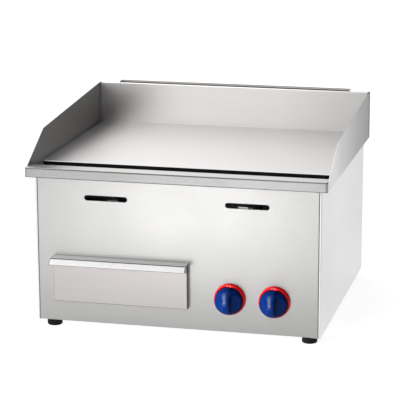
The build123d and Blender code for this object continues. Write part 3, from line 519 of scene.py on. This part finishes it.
MATERIALS = {
    "body_steel": brushed_steel("body_sheet", (0.35, 0.347, 0.343), 0.34, ALONG_X).material,
    "side_steel": side_sheet(),
    "base_steel": galvanised("base_sheet", (0.52, 0.53, 0.54), 0.46),
    "top_steel": brushed_steel("top_sheet", (0.44, 0.433, 0.43), 0.30, ALONG_X).material,
    "splash_steel": splash_sheet(),
    "fascia_steel": fascia_sheet(),
    "guard_steel": guard_sheet(),
    "flue_steel": flue_sheet(),
    "plate_steel": ground_plate("cooking_plate"),
    "drawer_steel": brushed_steel("tray_sheet", (0.37, 0.356, 0.354), 0.40, ALONG_X, streak=0.09).material,
    "front_steel": drawer_sheet(),
    "handle_steel": handle_sheet(),
    "inner_steel": galvanised("inner_sheet", (0.46, 0.47, 0.48), 0.50),
    "burner_iron": burnt_steel("burner_tube"),
    "shutter_zinc": turned_metal("shutter_plating", (0.13, 0.128, 0.13), 0.42),
    "brass": turned_metal("machined_brass", (0.68, 0.47, 0.19), 0.30),
    "gas_tube": turned_metal("drawn_tube", (0.72, 0.73, 0.74), 0.34, pitch=200.0),
    "steel_pipe": painted_pipe("pipe_paint"),
    "spring_steel": turned_metal("bright_steel", (0.60, 0.60, 0.61), 0.26),
    "bezel_red": gloss_plastic("red_plastic", (0.42, 0.006, 0.009), 0.28, 0.10).material,
    "knob_blue": knob_plastic(),
    "rubber": moulded_rubber("foot_rubber"),
    "screw_zinc": turned_metal("zinc_plating", (0.64, 0.65, 0.66), 0.34),
    "print": printed_white("white_print"),
    "primer": primed_sheet("primed_sheet"),
}
OWN_LOOK = {
    "front_surround": "fascia_steel",
    "flue_duct": "flue_steel",
    "drawer_front": "front_steel",
    "rear_splash": "splash_steel",
    "left_side_panel": "side_steel", "right_side_panel": "side_steel",
    "left_splash_guard": "guard_steel", "right_splash_guard": "guard_steel",
}


def dress(piece, material):
    """Gives every material slot of a piece one material."""
    if not piece.material_slots:
        piece.data.materials.append(material)
    for material_slot in piece.material_slots:
        material_slot.material = material


def dress_cad_nodes():
    """Each CAD node gets its record slot's look, or the look of its own that is listed above."""
    for part in frame["record"]["subparts"]:
        name = part["node"]
        look = OWN_LOOK.get(name, part["material_slot"])
        dress(NODES[name], MATERIALS[look])


dress_cad_nodes()


# ---------------------------------------------------------------- mesh helpers
def new_piece(name, vertices, faces, slot, body, look=None, smooth_below=35.0):
    """A mesh piece from points and faces, with one material, that rides on a body."""
    mesh = bpy.data.meshes.new(name)
    mesh.from_pydata([tuple(point) for point in vertices], [], faces)
    mesh.validate()
    work = bmesh.new()
    work.from_mesh(mesh)
    bmesh.ops.remove_doubles(work, verts=work.verts, dist=0.000001)
    bmesh.ops.recalc_face_normals(work, faces=work.faces)
    for face in work.faces:
        face.smooth = True
    for edge in work.edges:
        if len(edge.link_faces) == 2 and edge.calc_face_angle() > math.radians(smooth_below):
            edge.smooth = False
    work.to_mesh(mesh)
    work.free()
    piece = place_in_scene(name, mesh)
    dress(piece, MATERIALS[look or slot])
    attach(piece, body)
    return piece


def grid_faces(rows, columns):
    """Quads between rows of points, each row closed on itself."""
    faces = []
    for row in range(rows - 1):
        for column in range(columns):
            following = (column + 1) % columns
            faces.append((row * columns + column, row * columns + following,
                          (row + 1) * columns + following, (row + 1) * columns + column))
    return faces


# ---------------------------------------------------------------- knobs
KNOB_SEGMENTS = 144
DOME_RINGS = 52
DOME_INSET = 0.6 * MM
RIDGE_HALF = 4.6 * MM


def smooth_least(a, b, soft):
    """The lesser of two heights, with the corner between them rounded off."""
    gap = max(soft - abs(a - b), 0.0) / soft
    return min(a, b) - gap * gap * soft * 0.25


def arc_through(near, middle, far):
    """Centre and radius of the circle through three points."""
    ax, ay = near
    bx, by = middle
    cx, cy = far
    turn = 2 * (ax * (by - cy) + bx * (cy - ay) + cx * (ay - by))
    a2, b2, c2 = ax * ax + ay * ay, bx * bx + by * by, cx * cx + cy * cy
    x = (a2 * (by - cy) + b2 * (cy - ay) + c2 * (ay - by)) / turn
    y = (a2 * (cx - bx) + b2 * (ax - cx) + c2 * (bx - ax)) / turn
    return x, y, math.hypot(ax - x, ay - y)


def knob_height(across, up, radius, depth):
    """Height of the knob's front above its back plane: a dome, two scooped flanks and an upright ridge."""
    shoulder = depth * 0.30
    rise = depth - shoulder
    dome_radius = (radius * radius + rise * rise) / (2 * rise)
    from_axis = min(math.hypot(across, up), radius)
    dome = shoulder + math.sqrt(dome_radius ** 2 - from_axis ** 2) - (dome_radius - rise)
    if abs(across) < RIDGE_HALF:
        return smooth_least(dome, depth + 4 * MM, 3.0 * MM)
    top, floor, rim = (RIDGE_HALF, depth + 2 * MM), (11.1 * MM, depth - 8.6 * MM), (27.8 * MM, depth * 0.34)
    x, y, reach = arc_through(top, floor, rim)
    offset = min(abs(across), rim[0])
    flank = y - math.sqrt(max(reach ** 2 - (offset - x) ** 2, 0.0))
    return smooth_least(dome, flank, 3.0 * MM)


def knob(name, node, body):
    """Round knob: its domed grip in rings, then a belt, a hollow back and a hub around the stem."""
    low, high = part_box(node)
    middle = (low + high) / 2
    radius, depth = (high.x - low.x) / 2, high.y - low.y
    dome = radius - DOME_INSET
    inside, hub, bore = radius - 3.3 * MM, 7.0 * MM, 3.1 * MM
    belt, hub_foot, bore_end = depth * 0.2, 2.0 * MM, depth * 0.5
    sides = ((radius - 0.25 * MM, depth * 0.27), (radius, belt), (radius, 0.4 * MM),
             (radius - 0.4 * MM, 0.0), (inside, 0.0), (inside, belt), (hub, belt),
             (hub, hub_foot), (bore, hub_foot), (bore, bore_end))

    def at(reach, turn, height):
        return middle.x + reach * math.cos(turn), high.y - height, middle.z + reach * math.sin(turn)

    turns = [2 * math.pi * step / KNOB_SEGMENTS for step in range(KNOB_SEGMENTS)]
    points = []
    for ring in range(1, DOME_RINGS + 1):
        reach = dome * (ring / DOME_RINGS)
        points += [at(reach, turn, knob_height(reach * math.cos(turn), reach * math.sin(turn), dome, depth))
                   for turn in turns]
    for reach, height in sides:
        points += [at(reach, turn, height) for turn in turns]
    rows = DOME_RINGS + len(sides)
    faces = grid_faces(rows, KNOB_SEGMENTS)
    crown, socket = len(points), len(points) + 1
    points += [at(0.0, 0.0, knob_height(0.0, 0.0, dome, depth)), at(0.0, 0.0, bore_end)]
    back = (rows - 1) * KNOB_SEGMENTS
    for step in range(KNOB_SEGMENTS):
        following = (step + 1) % KNOB_SEGMENTS
        faces.append((crown, step, following))
        faces.append((socket, back + following, back + step))
    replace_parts(new_piece(name, points, faces, "knob_blue", body), node)


for side in SIDES:
    knob(side + "_grip_knob", side + "_knob", side + "_dial")


# ---------------------------------------------------------------- printed marks on the bezels
def bezel_mark(name, middle, front, ring, angle, tip):
    """A thin printed patch that follows the rounded rim of the bezel, facing the front."""
    half_width, half_height, bend, flat = 1.5 * MM, 0.80 * MM, 0.9 * MM, 0.1 * MM
    front_skin, back_skin = -0.05 * MM, 0.10 * MM
    turns, rings = 32, 7
    points = []
    for skin in (front_skin, back_skin):
        for share in range(1, rings + 1):
            for step in range(turns):
                around = 2 * math.pi * step / turns
                along = half_width * share / rings * math.cos(around)
                out = half_height * share / rings * math.sin(around)
                if out > 0.0:
                    out *= tip
                drop = bend - math.sqrt(bend ** 2 - max(abs(out) - flat, 0.0) ** 2)
                turn = angle - along / ring
                reach = ring + out
                points.append((middle.x + reach * math.cos(turn), front + drop + skin,
                               middle.z + reach * math.sin(turn)))
    front_faces = grid_faces(rings, turns)
    back = rings * turns
    faces = front_faces + [tuple(back + corner for corner in face[::-1]) for face in front_faces]
    faces += [tuple(range(turns)), tuple(back + step for step in range(turns - 1, -1, -1))]
    edge = (rings - 1) * turns
    for step in range(turns):
        following = (step + 1) % turns
        faces.append((edge + step, edge + following, back + edge + following, back + edge + step))
    new_piece(name, points, faces, "bezel_red", "body", "print")


def bezel_marks(side):
    """Two small plain marks at the top of the ring: a dot and, right of it, a taller one."""
    low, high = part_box(side + "_bezel")
    middle = (low + high) / 2
    ring = (high.x - low.x) / 2 - 2.2 * MM
    bezel_mark(f"{side}_bezel_dot", middle, low.y, ring, math.radians(97.0), 1.0)
    bezel_mark(f"{side}_bezel_flame", middle, low.y, ring, math.radians(85.5), 1.15)


for side in SIDES:
    bezel_marks(side)


# ---------------------------------------------------------------- taper guide behind the right slot
def taper_guide():
    """Small bent clip behind the front panel, whose upturned lip shows low in the right lighting slot."""
    wall, thick = 1.25 * MM, 1.0 * MM
    left, right = 111.0 * MM, 128.5 * MM
    slot_foot = 244.5 * MM
    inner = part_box("front_panel")[0].y + wall
    shelf, tail, lip = slot_foot - 4 * MM, slot_foot - 16 * MM, slot_foot + 1.4 * MM
    back = inner + 9.5 * MM
    skin = [(inner, tail), (inner + thick, tail), (inner + thick, shelf), (back, shelf),
            (back, lip), (back - thick, lip), (back - thick, shelf + thick), (inner, shelf + thick)]
    count = len(skin)
    points = [(x, y, z) for x in (left, right) for y, z in skin]
    faces = [(i, (i + 1) % count, count + (i + 1) % count, count + i) for i in range(count)]
    faces += [tuple(range(count)), tuple(range(2 * count - 1, count - 1, -1))]
    new_piece("taper_guide", points, faces, "inner_steel", "body", "primer")


taper_guide()


# ---------------------------------------------------------------- threaded gas inlet
def threaded_inlet():
    """Hexagon, collar and a real helical thread along the free end."""
    low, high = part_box("inlet_fitting")
    middle = (low + high) / 2
    panel_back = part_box("rear_panel")[1].y
    bore, flat, collar, major = 7.5 * MM, 12.0 * MM, 14.0 * MM, 10.48 * MM
    chamfer, pitch, depth = 0.5 * MM, 1.814 * MM, 0.9 * MM
    columns, rows_per_turn = 72, 8
    hexagon_end, collar_end = low.y + 12 * MM, panel_back - 1.2 * MM
    thread_start, thread_end = panel_back + 5.2 * MM, high.y - 0.8 * MM

    def hexagon(turn):
        return flat / math.cos((turn + math.pi / 6) % (math.pi / 3) - math.pi / 6)

    def chamfered(turn):
        return hexagon(turn) - chamfer

    def circle(radius):
        return lambda turn: radius

    def thread(along, fade):
        """One row of the helix, cut less deep where the thread runs out."""
        def reach(turn):
            phase = (along / pitch - turn / (2 * math.pi)) % 1.0
            groove = min(1.0, max(0.0, 2.4 * abs(phase - 0.5) - 0.1))
            return major - depth * fade * groove
        return reach

    rows = [(low.y, circle(bore)), (low.y, chamfered), (low.y + 0.4 * MM, hexagon),
            (hexagon_end - 0.4 * MM, hexagon), (hexagon_end, chamfered), (hexagon_end, circle(collar)),
            (collar_end, circle(collar)), (collar_end, circle(major - chamfer)),
            (thread_start, circle(major - chamfer))]
    steps = int((thread_end - thread_start) / (pitch / rows_per_turn))
    for step in range(1, steps):
        along = (thread_end - thread_start) * step / steps
        fade = min(step / rows_per_turn, (steps - step) / rows_per_turn, 1.0)
        rows.append((thread_start + along, thread(along, fade)))
    rows += [(thread_end, circle(major - 0.2 * MM)), (high.y, circle(major - depth)),
             (high.y, circle(bore)), (low.y, circle(bore))]
    points = []
    for y, reach in rows:
        for column in range(columns):
            turn = 2 * math.pi * column / columns
            radius = reach(turn)
            points.append((middle.x + radius * math.cos(turn), y, middle.z + radius * math.sin(turn)))
    faces = grid_faces(len(rows), columns)
    piece = new_piece("threaded_inlet", points, faces, "brass", "body", smooth_below=28.0)
    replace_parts(piece, "inlet_fitting")


threaded_inlet()


# ---------------------------------------------------------------- camera, floor and light
# Place in metres, angles in degrees, lens in millimetres; walls and ceiling as strengths of the room's light.
CAMERA_PLACE = (0.7799, -3.2452, 1.0187)
CAMERA_YAW, CAMERA_DIP, CAMERA_ROLL = 13.724, 13.801, -0.18
CAMERA_LENS = 162.88
LEFT_WALL, RIGHT_WALL, CEILING = 1.7, 0.10, 1.3


def camera():
    data = bpy.data.cameras.new("main_camera")
    data.lens = CAMERA_LENS
    data.sensor_width = 36.0
    data.clip_end = 100.0
    eye = place_in_scene("main_camera", data)
    yaw = Matrix.Rotation(math.radians(CAMERA_YAW), 4, "Z")
    tilt = Matrix.Rotation(math.radians(90.0 - CAMERA_DIP), 4, "X")
    roll = Matrix.Rotation(math.radians(CAMERA_ROLL), 4, "Z")
    eye.matrix_world = Matrix.Translation(CAMERA_PLACE) @ yaw @ tilt @ roll
    bpy.context.scene.camera = eye


def studio_floor():
    """Wide sheet of pale paper at the level that the feet stand on."""
    half, level = 14.0, CAD_LOW.z
    corners = [(-half, -half, level), (half, -half, level), (half, half, level), (-half, half, level)]
    mesh = bpy.data.meshes.new("studio_floor")
    mesh.from_pydata(corners, [], [(0, 1, 2, 3)])
    floor = place_in_scene("studio_floor", mesh)
    look = Look("floor_paper", Specular_IOR_Level=0.2,
                Emission_Color=(1.0, 1.0, 1.0, 1.0), Emission_Strength=0.84)
    fibre = look.noise((3.0, 3.0, 3.0), detail=2.0)
    look.colour((0.25, 0.25, 0.25), (fibre, 0.02))
    look.roughness(0.85, (fibre, 0.05))
    dress(floor, look.material)


def lamp(name, kind, power):
    """A lamp that lights paper, plastic and rubber, and isn't mirrored in the steel."""
    data = bpy.data.lights.new(name, kind)
    data.energy = power
    light = place_in_scene(name, data)
    light.visible_camera = False
    light.visible_glossy = False
    return light


def front_pool():
    """A long soft lamp in front, facing down, whose pool of light on the floor the front panel mirrors."""
    light = lamp("front_pool", "AREA", 36.0)
    light.data.shape = "RECTANGLE"
    light.data.size, light.data.size_y = 0.64, 0.20
    light.location = (-0.19, -1.17, 0.34)
    light.rotation_euler = (0.0, 0.0, math.radians(50.0))


def knob_spot():
    """A narrow lamp from the left that models the knobs and their rings."""
    light = lamp("knob_spot", "SPOT", 520.0)
    light.data.spot_size = math.radians(8.5)
    light.data.spot_blend = 0.7
    light.data.shadow_soft_size = 0.06
    place = Vector((-1.45, -1.25, 0.115))
    left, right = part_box("left_knob"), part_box("right_knob")
    aim = (left[0] + left[1] + right[0] + right[1]) / 4 - place
    light.matrix_world = Matrix.Translation(place) @ aim.to_track_quat("-Z", "Y").to_matrix().to_4x4()


def ramp(tree, value, start, end, low, high):
    """Smooth step of a value from one level to another."""
    node = tree.nodes.new("ShaderNodeMapRange")
    node.interpolation_type = "SMOOTHSTEP"
    tree.links.new(value, node.inputs["Value"])
    for socket, given in zip(("From Min", "From Max", "To Min", "To Max"), (start, end, low, high)):
        node.inputs[socket].default_value = given
    return node.outputs["Result"]


def greater(tree, a, b):
    node = tree.nodes.new("ShaderNodeMath")
    node.operation = "MAXIMUM"
    tree.links.new(a, node.inputs[0])
    tree.links.new(b, node.inputs[1])
    return node.outputs[0]


def studio():
    """Room with bright walls on the left, a soft ceiling and a dim right half, and a white backdrop."""
    world = bpy.data.worlds.new("studio")
    bpy.context.scene.world = world
    world.use_nodes = True
    tree = world.node_tree
    background = tree.nodes["Background"]
    background.inputs["Color"].default_value = (1.0, 1.0, 1.0, 1.0)
    axes = tree.nodes.new("ShaderNodeSeparateXYZ")
    tree.links.new(tree.nodes.new("ShaderNodeTexCoord").outputs["Generated"], axes.inputs[0])
    walls = ramp(tree, axes.outputs["X"], -0.26, 0.04, LEFT_WALL, RIGHT_WALL)
    ceiling = ramp(tree, axes.outputs["Z"], 0.62, 0.90, 0.0, CEILING)
    backdrop = tree.nodes.new("ShaderNodeLightPath").outputs["Is Camera Ray"]
    brightest = greater(tree, greater(tree, walls, ceiling), backdrop)
    tree.links.new(brightest, background.inputs["Strength"])
    bpy.context.scene.view_settings.view_transform = "Standard"


camera()
studio_floor()
studio()
front_pool()
knob_spot()
